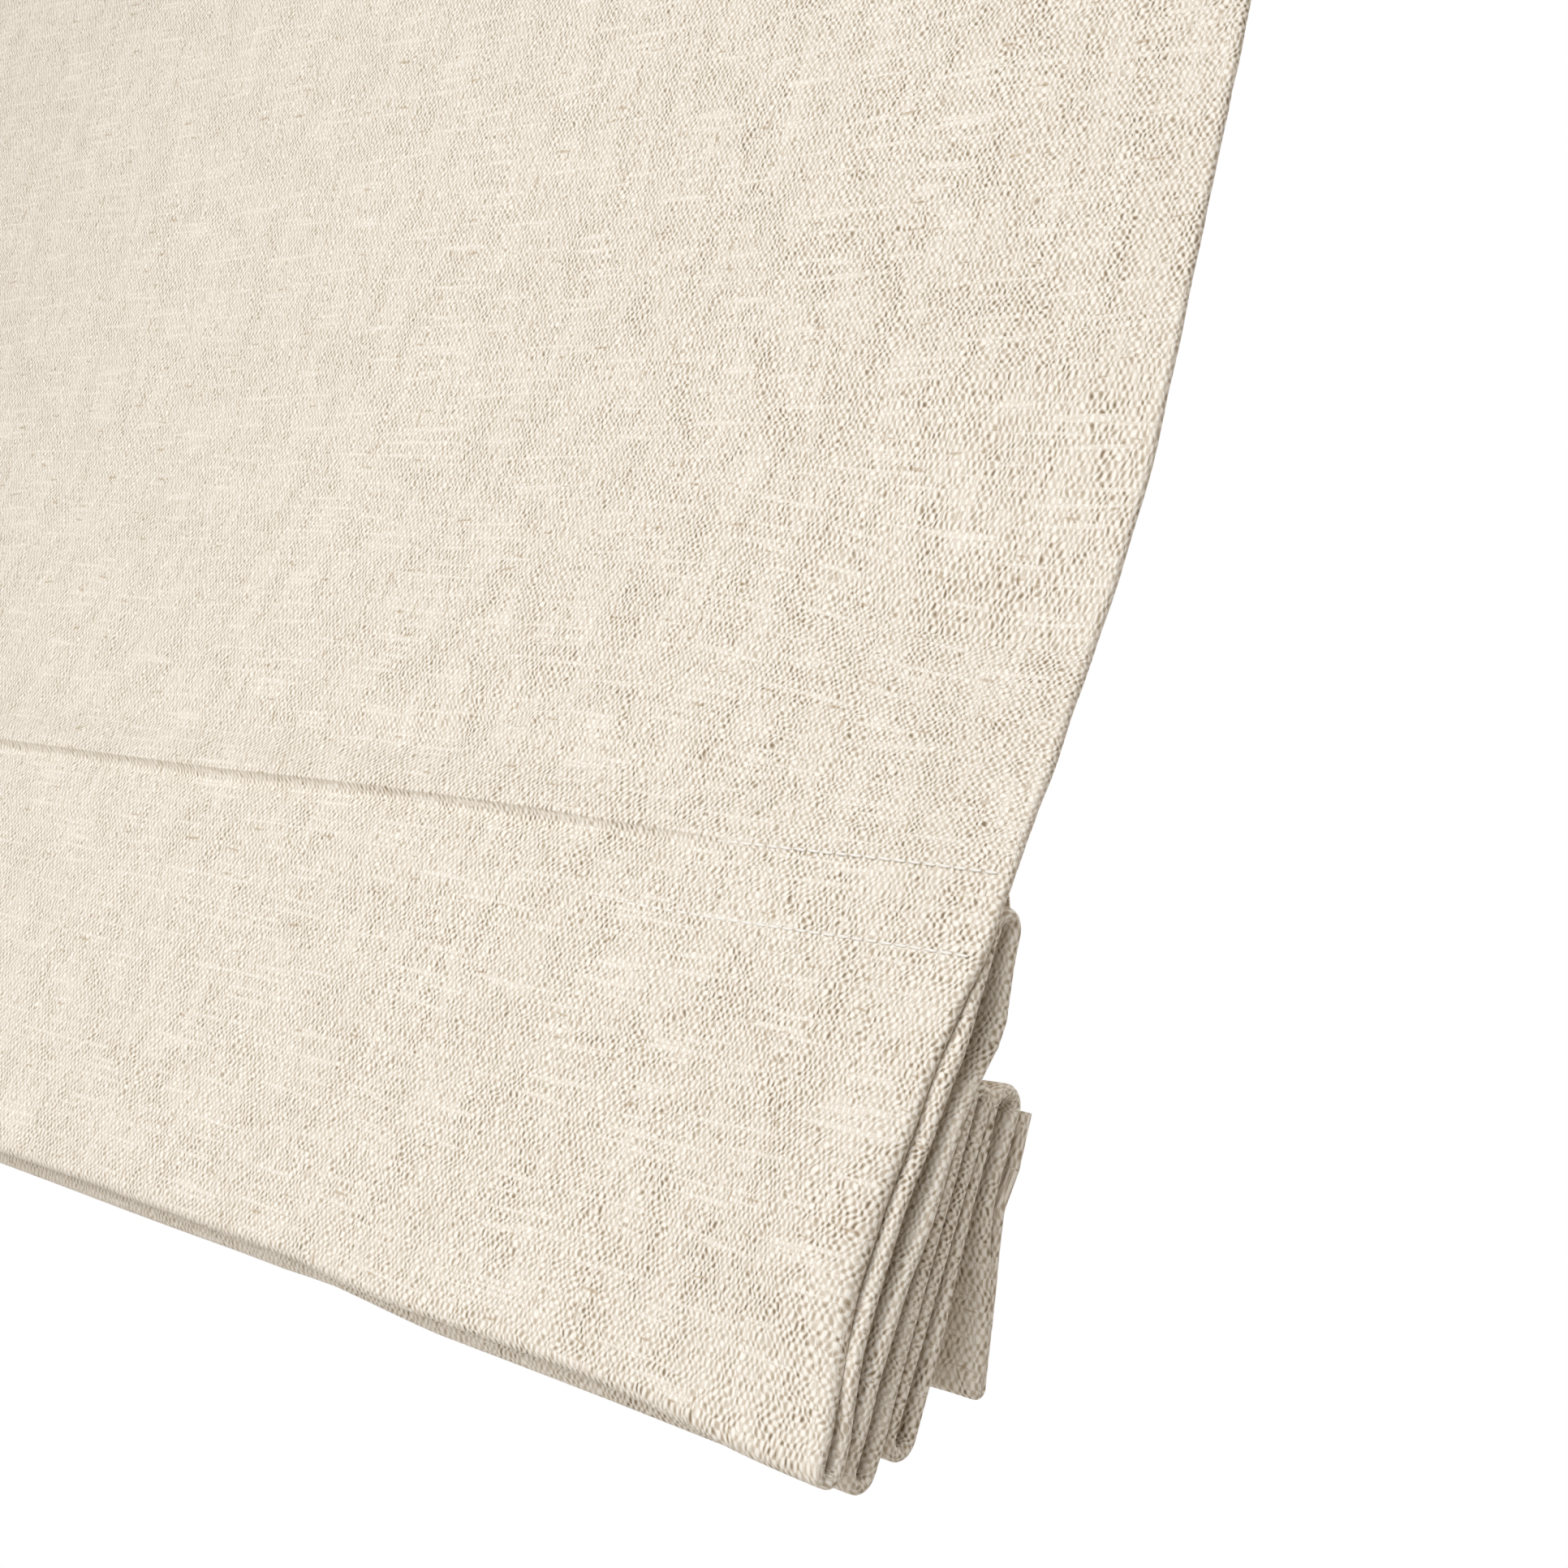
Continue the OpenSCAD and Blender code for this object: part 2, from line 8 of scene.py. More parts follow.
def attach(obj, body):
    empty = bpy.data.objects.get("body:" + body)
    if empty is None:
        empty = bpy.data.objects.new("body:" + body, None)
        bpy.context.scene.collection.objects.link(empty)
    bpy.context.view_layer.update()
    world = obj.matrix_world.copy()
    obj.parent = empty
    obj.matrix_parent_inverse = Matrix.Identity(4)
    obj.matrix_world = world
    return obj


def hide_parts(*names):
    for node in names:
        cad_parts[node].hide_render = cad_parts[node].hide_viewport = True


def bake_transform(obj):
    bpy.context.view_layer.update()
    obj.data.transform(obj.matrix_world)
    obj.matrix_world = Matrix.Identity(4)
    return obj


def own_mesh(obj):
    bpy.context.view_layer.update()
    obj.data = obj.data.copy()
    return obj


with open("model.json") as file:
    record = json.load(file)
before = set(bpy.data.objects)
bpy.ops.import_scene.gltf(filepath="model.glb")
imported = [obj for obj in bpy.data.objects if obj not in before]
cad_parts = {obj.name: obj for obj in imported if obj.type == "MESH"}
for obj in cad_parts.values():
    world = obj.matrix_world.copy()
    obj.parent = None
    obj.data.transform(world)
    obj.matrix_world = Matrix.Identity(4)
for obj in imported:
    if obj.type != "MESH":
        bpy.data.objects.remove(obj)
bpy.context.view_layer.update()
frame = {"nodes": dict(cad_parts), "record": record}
mm = 0.001

# Camera: placed in front of the stack's right end, below the seam, looking slightly up
CAMERA_PLACE = Vector((658.8, -379.0, -397.6)) * mm
CAMERA_AZIMUTH = math.radians(40.07)
CAMERA_ELEVATION = math.radians(9.66)
CAMERA_ROLL = math.radians(-14.37)
PHOTO_WIDTH_PX = 1932
FOCAL_LENGTH_PX = 2600
SENSOR_MM = 36.0


def set_up_camera():
    az, el, roll = CAMERA_AZIMUTH, CAMERA_ELEVATION, CAMERA_ROLL
    ahead = Vector((-math.sin(az) * math.cos(el), math.cos(az) * math.cos(el), math.sin(el)))
    level = Vector((math.cos(az), math.sin(az), 0))
    below = ahead.cross(level)
    right = math.cos(roll) * level + math.sin(roll) * below
    up = math.sin(roll) * level - math.cos(roll) * below
    data = bpy.data.cameras.new("camera")
    data.sensor_width = SENSOR_MM
    data.lens = SENSOR_MM * FOCAL_LENGTH_PX / PHOTO_WIDTH_PX
    data.clip_start = 0.01
    camera = bpy.data.objects.new("camera", data)
    bpy.context.scene.collection.objects.link(camera)
    turn = Matrix((right, up, -ahead)).transposed().to_4x4()
    camera.matrix_world = Matrix.Translation(CAMERA_PLACE) @ turn
    bpy.context.scene.camera = camera


set_up_camera()

# Sizes of the blind, as the part's source has them, in metres
SEAM_Y, SEAM_Z = -62.8 * mm, -339.0 * mm
CORD_X = (-330 * mm, 0.0, 330 * mm)
CORD_Y = SEAM_Y + 15.9526 * mm
CORD_R = 0.6 * mm
CORD_TOP = 1.0 * mm
CORD_BOTTOM = SEAM_Z - 32.91 * mm

# Sizes of the cloth and its pockets, in mm, in which the cloth is shaped before it is set down in metres
EDGE = 450.0
CLOTH_HALF_T = 0.4
SIDE_HEM = 25.0
HEM_TURN_R = 0.95
ROD_END = 421.0
ROD_R = 1.6
POCKET_H = 17.2
POCKET_HALF_T = 0.3
POCKET_EDGE = EDGE - 2.5
POCKET_LEG = 5
POCKET_CAP_R = 2.55
SEWN_GAP = 0.15
ROD_GAP = 0.2
# Past the rods' ends the cloth is free
FREE_FROM, FREE_TO = ROD_END + 3, 447

# Steps of the meshes, in mm and radians
RUN_STEP, ARC_STEP = 5.0, 4.0
POCKET_STEP = 2.0
TURN_STEP = math.radians(12)
SHORTEST_ARC = 0.05
HEM_STEPS, HEM_TURN_STEPS, FACE_STEPS, POCKET_STEPS = 5, 8, 100, 120
WELD = 0.001 * mm

# Bends of the cloth down from the headrail: back from the seam, up from the seam, radius.
# A radius above 0 turns left, one below 0 turns right, and 0 is an end or a crease.
HEAD = [(4, 358, 0), (34, 320, 30), (-239, 95, -250)]
SEAM = (0, 0, 0)
BOTTOM_1, CREST_1 = (-10.2, -107.6, 2.0), (7.95, -12.45, -1.7)
BOTTOM_2, CREST_2 = (-0.2, -107.8, 3.0), (12.1026, -26.9, -1.7)
BOTTOM_3, CREST_3 = (9.8, -99.6, 4.0), (19.6305, -48.45, -5.5)
HEM = [(29.8305, -91.75, 1.7), (29.5305, -69.45, 2.0), (31.0305, -65.45, -2.0), (29.0305, -59.45, 0)]
CLOTH_BENDS = HEAD + [SEAM, BOTTOM_1, CREST_1, BOTTOM_2, CREST_2, BOTTOM_3, CREST_3] + HEM
BACK, UP, RADIUS = range(3)
BELLY_AT, SEAM_AT = 2, 3
BOTTOM_1_AT, CREST_1_AT, BOTTOM_2_AT, CREST_2_AT, BOTTOM_3_AT, CREST_3_AT, HEM_AT = range(4, 11)
# The free bends past the rods' ends: the first crest opens, the second sinks and the hem's edge curls up
END_BENDS = {
    CREST_1_AT: (3.8, -10.2, -2.2), CREST_2_AT: (8.0, -41.0, -1.5), CREST_3_AT: (16.9, -41.4, -3.1),
    HEM_AT + 1: (28.5, -58.5, -4.5), HEM_AT + 2: (22.2, -50.5, 3.5), HEM_AT + 3: (25.7, -40.0, 0)}


def ease(low, high, value):
    """A smooth step from 0 at low to 1 at high."""
    t = min(max((value - low) / (high - low), 0.0), 1.0)
    return t * t * (3 - 2 * t)


def hump(middle, half, value):
    """1 at the middle, falling smoothly to 0 at half its width to both sides."""
    return ease(half, 0, abs(value - middle))


def drift(x, y, seed):
    """Smooth seeded noise from about -1 to 1."""
    return noise.noise(Vector((x, y, seed)))


def heading(a, b):
    """The angle of the straight run that touches one bend and the next."""
    back, up = b[BACK] - a[BACK], b[UP] - a[UP]
    return math.atan2(up, back) - math.asin((b[RADIUS] - a[RADIUS]) / math.hypot(back, up))


def on_bend(bend, angle, offset):
    """Back and up of the point where a bend runs at an angle, pushed to the cloth's back by offset."""
    reach = bend[RADIUS] - offset
    return bend[BACK] + reach * math.sin(angle), bend[UP] - reach * math.cos(angle)


def plan_rows(bends, run_step, turn_step, arc_step, crease=None):
    """Rows of a bent strip as (bend, share of its turn, share of the run after it), and their flat places,
    in mm. They lie closer together beside the crease."""
    last = len(bends) - 1
    head = [heading(bends[i], bends[i + 1]) for i in range(last)]
    rows, places, travelled = [], [], 0.0
    for i in range(last + 1):
        turn = abs(head[min(i, last - 1)] - head[max(i - 1, 0)])
        arc = turn * abs(bends[i][RADIUS])
        steps = max(1, math.ceil(turn / turn_step), math.ceil(arc / arc_step)) if arc > SHORTEST_ARC else 0
        for k in range(steps + 1):
            share = k / steps if steps else 0.5
            rows.append((i, share, 0.0))
            places.append(travelled + arc * share)
        travelled += arc
        if i < last:
            start = on_bend(bends[i], head[i], 0)
            stop = on_bend(bends[i + 1], head[i], 0)
            run = math.hypot(stop[0] - start[0], stop[1] - start[1])
            steps = max(1, math.ceil(run / run_step))
            if crease in (i, i + 1):
                steps *= 2
            for k in range(1, steps):
                share = k / steps
                share = share ** 2 if i == crease else 1 - (1 - share) ** 2 if i + 1 == crease else share
                rows.append((i, 1.0, share))
                places.append(travelled + run * share)
            travelled += run
    return rows, places


def row_point(bends, head, row, offset):
    """Back and up of one row, pushed to the cloth's back by offset, in mm."""
    i, share, along = row
    last = len(bends) - 1
    turn_in, turn_out = head[max(i - 1, 0)], head[min(i, last - 1)]
    if along == 0.0:
        return on_bend(bends[i], turn_in + (turn_out - turn_in) * share, offset)
    start = on_bend(bends[i], turn_out, offset)
    stop = on_bend(bends[i + 1], turn_out, offset)
    return start[0] + (stop[0] - start[0]) * along, start[1] + (stop[1] - start[1]) * along


CLOTH_ROWS, CLOTH_PLACES = plan_rows(CLOTH_BENDS, RUN_STEP, TURN_STEP, ARC_STEP, SEAM_AT)


def place_of(bend):
    """The flat place in the middle of a bend, in mm."""
    spots = [p for row, p in zip(CLOTH_ROWS, CLOTH_PLACES) if row[0] == bend and row[2] == 0.0]
    return (spots[0] + spots[-1]) / 2


SEAM_PLACE = place_of(SEAM_AT)
BOTTOM_1_PLACE, BOTTOM_2_PLACE = place_of(BOTTOM_1_AT), place_of(BOTTOM_2_AT)
CREST_1_PLACE, CREST_3_PLACE = place_of(CREST_1_AT), place_of(CREST_3_AT)
HEM_PLACE = place_of(HEM_AT)


def free_end(x):
    """How far a place lies past the rods' ends, from 0 to 1 at the right edge and to a half at the left."""
    return ease(FREE_FROM, FREE_TO, x) + 0.5 * ease(-FREE_FROM, -FREE_TO, x)


def bends_at(x):
    """The cloth's bends at one place across its width, with its soft waves, in mm."""
    bends = [list(b) for b in CLOTH_BENDS]
    bottom_1, bottom_2, bottom_3 = bends[BOTTOM_1_AT], bends[BOTTOM_2_AT], bends[BOTTOM_3_AT]
    right = ease(385, EDGE, x)
    bends[BELLY_AT][BACK] += 3.0 * ease(330, EDGE, x) + 1.2 * drift(x * 0.011, 0.3, 5.0)
    bends[SEAM_AT][UP] -= 0.9 * ease(280, 200, x) + 0.9 * hump(375, 65, x)
    bottom_1[BACK] += 0.4 * drift(x * 0.014, 0.2, 2.0) - 0.8 * right
    lifted = 2.9 + 1.7 * ease(335, 295, x) - 2.4 * right
    bottom_1[UP] += lifted + 0.35 * drift(x * 0.016, 0.7, 1.0) + 0.2 * drift(x * 0.05, 0.1, 1.5)
    bottom_1[RADIUS] += 1.2 * right
    bottom_2[BACK] -= 1.5 * right
    lifted = 1.6 * ease(345, 310, x) + 0.5 * hump(304, 16, x) + 0.4 * right
    bottom_2[UP] += lifted + 0.5 * drift(x * 0.02, 0.4, 3.0)
    bottom_2[RADIUS] += 0.8 * right
    bottom_3[BACK] -= 1.7 * right
    bottom_3[UP] += 1.0 * drift(x * 0.018, 0.9, 4.0) - 1.2 * right
    bottom_3[RADIUS] += 0.2 * right
    bends[HEM_AT][UP] += 0.5 * drift(x * 0.012, 0.5, 6.0) + 0.8 * free_end(x)
    for index, end in END_BENDS.items():
        for k in (BACK, UP, RADIUS):
            bends[index][k] += (end[k] - bends[index][k]) * free_end(x)
    return bends


def seam_tuck(x):
    """How much of the tuck along the seam there is: all of it at the left, none at the right edge."""
    return ease(430, 310, x)


def seam_rim(x):
    """How far the rim of the tuck stands out to the front, in mm."""
    return 0.1 + 1.6 * seam_tuck(x)


def panel_push(x, place):
    """The panel's slow waves, its diagonal dent, and the hollow and rim above the seam."""
    above = SEAM_PLACE - place
    free = ease(0, 70, above) * ease(340, 260, above)
    waves = 1.3 * drift(x * 0.013, place * 0.009, 11.0) + 0.4 * drift(x * 0.035, place * 0.02, 12.0)
    dent_at = 13 + 23 * ease(270, 345, x)
    dent = 2.3 * hump(304, 48, x) * hump(dent_at, 7.5, above)
    hollow = 0.9 * seam_tuck(x) * hump(12, 11, above)
    return free * waves + dent + hollow - seam_rim(x) * ease(14, 0, above)


def front_push(x, place, curl):
    """The first fold's front: slow waves, the groove and the swell under the seam, and the curl and the
    rolled edge of its right end."""
    rolled_width = 6.5
    below = place - SEAM_PLACE
    tuck = seam_tuck(x)
    free = ease(14, 45, below) * ease(105, 80, below)
    waves = 0.7 * drift(x * 0.018, place * 0.016, 13.0) + 0.3 * drift(x * 0.05, place * 0.03, 14.0)
    under = math.exp(-below / 1.2)
    groove = (0.1 + 1.0 * tuck) * ease(6, 2, below) * (1 - under) - seam_rim(x) * under
    swell = 0.6 * tuck * hump(15, 9, below)
    near_edge = min(max((x - EDGE + rolled_width) / rolled_width, 0.0), 1.0) ** 2
    rolled = 2.0 * ease(38, 62, below) * ease(108, 88, below) * near_edge
    curled = curl * (4.0 * ease(38, 66, below) * ease(106, 76, below) + 1.2 * hump(22, 24, below))
    return free * waves + groove - swell + rolled - curled


def soft_push(x, place):
    """How far the cloth lies behind its even shape, in mm."""
    if place < SEAM_PLACE:
        return panel_push(x, place)
    curl = ease(392, FREE_TO, x)
    if place < BOTTOM_1_PLACE - 2:
        return front_push(x, place, curl)
    if place < CREST_1_PLACE:
        rise = place - BOTTOM_1_PLACE
        return 2.2 * curl * ease(4, 24, rise) * ease(64, 44, rise)
    if place < BOTTOM_2_PLACE:
        fall = place - CREST_1_PLACE
        return free_end(x) * 4.1 * hump(19, 17, fall) - 1.6 * curl * hump(75, 28, fall)
    if CREST_3_PLACE < place < HEM_PLACE:
        return -4.5 * free_end(x) * hump(24, 20, place - CREST_3_PLACE)
    return 0.0


def drawn_in(place):
    """How far the right edges of the first fold's front and back are drawn in at a flat place, in mm."""
    below, rise = place - SEAM_PLACE, place - BOTTOM_1_PLACE
    if 0 < below and rise < 0:
        return 0.9 * ease(12, 45, below) + 2.6 * ease(15, 40, below) * ease(108, 88, below)
    if 0 <= rise and place < CREST_1_PLACE:
        return 1.3 * ease(6, 25, rise) * ease(80, 60, rise)
    return 0.0


def cloth_point(x, row, place, bends, head, offset):
    back, up = row_point(bends, head, row, offset + soft_push(x, place))
    return Vector((x * mm, SEAM_Y + back * mm, SEAM_Z + up * mm))


def headings(bends):
    return [heading(bends[i], bends[i + 1]) for i in range(len(bends) - 1)]


def cloth_at(x, place, offset):
    """A point of the hung cloth at a flat place, both in mm."""
    bends = bends_at(x)
    head = headings(bends)
    j = max(k for k in range(len(CLOTH_PLACES) - 1) if CLOTH_PLACES[k] <= place)
    low, high = CLOTH_PLACES[j], CLOTH_PLACES[j + 1]
    a = cloth_point(x, CLOTH_ROWS[j], place, bends, head, offset)
    b = cloth_point(x, CLOTH_ROWS[j + 1], place, bends, head, offset)
    return a.lerp(b, (place - low) / max(high - low, 1e-6))


def hemmed_section():
    """The cloth's cut edge round its whole cross-section as (place across, push to the back, flat place):
    the face from one turned side hem to the other, and back along the inside, in mm."""
    inner = EDGE - SIDE_HEM
    flat_turn = EDGE - CLOTH_HALF_T - HEM_TURN_R
    outside_r = HEM_TURN_R + CLOTH_HALF_T

    def right_side(out):
        r = HEM_TURN_R + out
        points = []
        for k in range(HEM_STEPS + 1):
            x = inner + (flat_turn - inner) * k / HEM_STEPS
            points.append((x, -out, x))
        for k in range(1, HEM_TURN_STEPS + 1):
            angle = math.pi * k / HEM_TURN_STEPS
            points.append((flat_turn + r * math.sin(angle), HEM_TURN_R - r * math.cos(angle),
                           flat_turn + outside_r * angle))
        for k in range(1, HEM_STEPS + 1):
            x = flat_turn - (flat_turn - inner) * k / HEM_STEPS
            points.append((x, 2 * HEM_TURN_R + out, flat_turn + outside_r * math.pi + flat_turn - x))
        return points

    def whole(out):
        right = right_side(out)
        left = [(-x, push, -flat) for x, push, flat in reversed(right)]
        middle = [-inner + 2 * inner * k / FACE_STEPS for k in range(1, FACE_STEPS)]
        return left + [(x, -out, x) for x in middle] + right

    loop = whole(CLOTH_HALF_T) + list(reversed(whole(-CLOTH_HALF_T)))
    return loop + loop[:1]


def link(name, mesh, material):
    piece = bpy.data.objects.new(name, mesh)
    bpy.context.scene.collection.objects.link(piece)
    mesh.materials.append(material)
    for face in mesh.polygons:
        face.use_smooth = True
    return piece


def shaped_grid(name, columns, rows, place, flat, material):
    """A grid rolled into a closed tube, as cloth with its thickness or as a cord: its points go to
    place(column, row), its last column meets its first, and its UV map has its flat size in metres."""
    bm = bmesh.new()
    bmesh.ops.create_grid(bm, x_segments=columns - 1, y_segments=rows - 1, size=0.5)
    uv = bm.loops.layers.uv.new("flat")
    spot = {v: (round((v.co.x + 0.5) * (columns - 1)), round((v.co.y + 0.5) * (rows - 1)))
            for v in bm.verts}
    for face in bm.faces:
        for loop in face.loops:
            loop[uv].uv = flat(*spot[loop.vert])
    for v, (i, j) in spot.items():
        v.co = place(i, j)
    sides = [v for v, (i, j) in spot.items() if i in (0, columns - 1)]
    bmesh.ops.remove_doubles(bm, verts=sides, dist=WELD)
    bmesh.ops.holes_fill(bm, edges=bm.edges, sides=0)
    bmesh.ops.recalc_face_normals(bm, faces=bm.faces)
    mesh = bpy.data.meshes.new(name)
    bm.to_mesh(mesh)
    bm.free()
    return link(name, mesh, material)


# Node helpers
def nodes_of(tree):
    tree.nodes.clear()

    def add(kind, **values):
        node = tree.nodes.new(kind)
        for key, value in values.items():
            setattr(node, key, value)
        return node

    def wire(source, target):
        tree.links.new(source, target)

    def math_of(operation, a, b=None, c=None):
        node = add("ShaderNodeMath", operation=operation)
        for socket, value in zip(node.inputs, (a, b, c)):
            if value is None:
                continue
            if isinstance(value, (int, float)):
                socket.default_value = value
            else:
                wire(value, socket)
        return node.outputs[0]

    return add, wire, math_of


def new_group(name, inputs, outputs):
    group = bpy.data.node_groups.new(name, "ShaderNodeTree")
    for title, kind, value in inputs:
        socket = group.interface.new_socket(name=title, in_out="INPUT", socket_type=kind)
        if value is not None:
            socket.default_value = value
    for title, kind in outputs:
        group.interface.new_socket(name=title, in_out="OUTPUT", socket_type=kind)
    add, wire, math_of = nodes_of(group)
    return group, add, wire, math_of, add("NodeGroupInput"), add("NodeGroupOutput")


def noise_node(add, wire, vector, scale, detail):
    node = add("ShaderNodeTexNoise")
    node.inputs["Scale"].default_value = scale
    node.inputs["Detail"].default_value = detail
    wire(vector, node.inputs["Vector"])
    return node.outputs["Fac"]


def stretched(add, wire, vector, scale):
    node = add("ShaderNodeMapping")
    node.inputs["Scale"].default_value = scale
    wire(vector, node.inputs["Vector"])
    return node.outputs[0]


def ranged(add, wire, value, low, high, to_low=0.0, to_high=1.0):
    node = add("ShaderNodeMapRange", interpolation_type="SMOOTHSTEP")
    node.inputs["From Min"].default_value = low
    node.inputs["From Max"].default_value = high
    node.inputs["To Min"].default_value = to_low
    node.inputs["To Max"].default_value = to_high
    wire(value, node.inputs["Value"])
    return node.outputs["Result"]


def make_weave():
    """Plain weave of uneven yarns: plump grains of the warp in a staggered pattern, with the weft low or open
    between them, slubs that fill the openings, and rare brown flecks. Ends are yarns of the warp, picks are
    yarns of the weft, and the scales of its noise are per metre of flat cloth."""
    group, add, wire, m, given, out = new_group(
        "plain_weave",
        [("Vector", "NodeSocketVector", None), ("End Pitch", "NodeSocketFloat", 0.00075),
         ("Pick Pitch", "NodeSocketFloat", 0.0012), ("Openness", "NodeSocketFloat", 1.0)],
        [("Height", "NodeSocketFloat"), ("Gap", "NodeSocketFloat"), ("Tone", "NodeSocketFloat"),
         ("Fleck", "NodeSocketFloat")])
    vector = given.outputs["Vector"]

    def flat_noise(scale, detail=1.0, rough=0.5):
        node = add("ShaderNodeTexNoise", noise_dimensions="2D")
        node.inputs["Scale"].default_value = 1.0
        node.inputs["Detail"].default_value = detail
        node.inputs["Roughness"].default_value = rough
        wire(stretched(add, wire, vector, (*scale, 1)), node.inputs["Vector"])
        return node

    def two_of(node):
        parts = add("ShaderNodeSeparateColor")
        wire(node.outputs["Color"], parts.inputs[0])
        return parts.outputs[0], parts.outputs[1]

    split = add("ShaderNodeSeparateXYZ")
    wire(vector, split.inputs[0])
    slow_across, slow_along = two_of(flat_noise((38, 38), 2.0))
    near_across, near_along = two_of(flat_noise((340, 340), 1.0))
    ends = m("ADD", m("DIVIDE", split.outputs[0], given.outputs["End Pitch"]),
             m("MULTIPLY_ADD", slow_across, 4.0, m("MULTIPLY", near_across, 2.2)))
    picks = m("ADD", m("DIVIDE", split.outputs[1], given.outputs["Pick Pitch"]),
              m("MULTIPLY_ADD", slow_along, 3.0, m("MULTIPLY", near_along, 1.6)))
    ends = m("SUBTRACT", ends, m("MULTIPLY", m("SUBTRACT", m("FRACT", picks), 0.5), 0.1))
    cell = add("ShaderNodeCombineXYZ")
    wire(m("FLOOR", ends), cell.inputs[0])
    wire(m("FLOOR", picks), cell.inputs[1])
    chance = add("ShaderNodeTexWhiteNoise", noise_dimensions="2D")
    wire(cell.outputs[0], chance.inputs["Vector"])
    end_slub = flat_noise((1330, 34), 1.0).outputs["Fac"]
    pick_slub = flat_noise((40, 830), 1.0).outputs["Fac"]
    patch = flat_noise((110, 60), 3.0, 0.6).outputs["Fac"]
    fibre = flat_noise((5200, 4200), 2.0, 0.6).outputs["Fac"]

    wave = m("MULTIPLY", m("SINE", m("MULTIPLY", ends, math.pi)), m("SINE", m("MULTIPLY", picks, math.pi)))
    grain = m("POWER", m("MAXIMUM", wave, 0.0), 0.6)
    low = m("POWER", m("MAXIMUM", m("MULTIPLY", wave, -1.0), 0.0), 0.75)
    loose = m("ADD", ranged(add, wire, patch, 0.32, 0.70, 0.24, 0.56),
              m("MULTIPLY", m("SUBTRACT", chance.outputs["Value"], 0.5), 0.4))
    filled = m("ADD", ranged(add, wire, pick_slub, 0.58, 0.8, 0.0, 0.65),
               ranged(add, wire, end_slub, 0.58, 0.8, 0.0, 0.6))
    depth = m("MULTIPLY", m("MAXIMUM", m("SUBTRACT", loose, filled), -0.1), given.outputs["Openness"])
    gap = m("MULTIPLY", low, depth)
    crown = m("ADD", m("MULTIPLY", grain, 0.42), m("MULTIPLY_ADD", gap, -0.85, 0.5))
    height = m("ADD", crown, m("MULTIPLY", m("SUBTRACT", fibre, 0.5), 0.28))
    wire(height, out.inputs["Height"])
    wire(ranged(add, wire, gap, 0.34, 0.72), out.inputs["Gap"])
    slow = flat_noise((60, 24), 3.0, 0.6).outputs["Fac"]
    streak = m("MULTIPLY", m("SUBTRACT", m("ADD", end_slub, pick_slub), 1.0), 0.55)
    tone = m("ADD", m("MULTIPLY", m("SUBTRACT", chance.outputs["Value"], 0.5), 0.35),
             m("ADD", streak, m("MULTIPLY", m("SUBTRACT", slow, 0.5), 0.55)))
    wire(tone, out.inputs["Tone"])
    speck_end = ranged(add, wire, flat_noise((800, 130)).outputs["Fac"], 0.75, 0.81)
    speck_pick = ranged(add, wire, flat_noise((120, 620)).outputs["Fac"], 0.76, 0.82)
    wire(m("MAXIMUM", speck_end, speck_pick), out.inputs["Fleck"])
    return group


def make_speckle():
    """Fine moulded or sprayed grain with slow mottling, from Object coordinates."""
    group, add, wire, m, given, out = new_group(
        "fine_grain",
        [("Vector", "NodeSocketVector", None), ("Grain", "NodeSocketFloat", 2500.0)],
        [("Height", "NodeSocketFloat"), ("Mottle", "NodeSocketFloat")])
    grain = add("ShaderNodeTexNoise")
    grain.inputs["Detail"].default_value = 2.0
    wire(given.outputs["Vector"], grain.inputs["Vector"])
    wire(given.outputs["Grain"], grain.inputs["Scale"])
    patch = noise_node(add, wire, given.outputs["Vector"], 18.0, 4.0)
    wire(grain.outputs["Fac"], out.inputs["Height"])
    wire(m("ADD", m("MULTIPLY", patch, 0.7), m("MULTIPLY", grain.outputs["Fac"], 0.3)), out.inputs["Mottle"])
    return group


def make_drawn_lines():
    """Long fine lines along x from drawing or rolling, with slow mottling."""
    group, add, wire, m, given, out = new_group(
        "drawn_lines",
        [("Vector", "NodeSocketVector", None), ("Lines", "NodeSocketFloat", 1800.0)],
        [("Height", "NodeSocketFloat"), ("Mottle", "NodeSocketFloat")])
    lines = add("ShaderNodeTexNoise")
    lines.inputs["Detail"].default_value = 3.0
    wire(stretched(add, wire, given.outputs["Vector"], (0.012, 1, 1)), lines.inputs["Vector"])
    wire(given.outputs["Lines"], lines.inputs["Scale"])
    wire(lines.outputs["Fac"], out.inputs["Height"])
    patch = noise_node(add, wire, given.outputs["Vector"], 40.0, 4.0)
    wire(m("ADD", m("MULTIPLY", lines.outputs["Fac"], 0.6), m("MULTIPLY", patch, 0.4)),
         out.inputs["Mottle"])
    return group


WEAVE, GRAIN, DRAWN = make_weave(), make_speckle(), make_drawn_lines()


def new_material(name):
    material = bpy.data.materials.new(name)
    material.use_nodes = True
    add, wire, m = nodes_of(material.node_tree)
    shader = add("ShaderNodeBsdfPrincipled")
    wire(shader.outputs[0], add("ShaderNodeOutputMaterial").inputs["Surface"])
    return material, add, wire, m, shader


def mixed(add, wire, factor, first, second):
    """A colour mix, whose node has its two colours at inputs 6 and 7 and its result at output 2."""
    node = add("ShaderNodeMix", data_type="RGBA")
    for index, value in ((6, first), (7, second)):
        if isinstance(value, tuple):
            node.inputs[index].default_value = (*value, 1)
        else:
            wire(value, node.inputs[index])
    wire(factor, node.inputs[0])
    return node.outputs[2]


def bumped(add, wire, shader, height, distance, strength=1.0):
    bump = add("ShaderNodeBump")
    bump.inputs["Distance"].default_value = distance
    bump.inputs["Strength"].default_value = strength
    wire(height, bump.inputs["Height"])
    wire(bump.outputs[0], shader.inputs["Normal"])


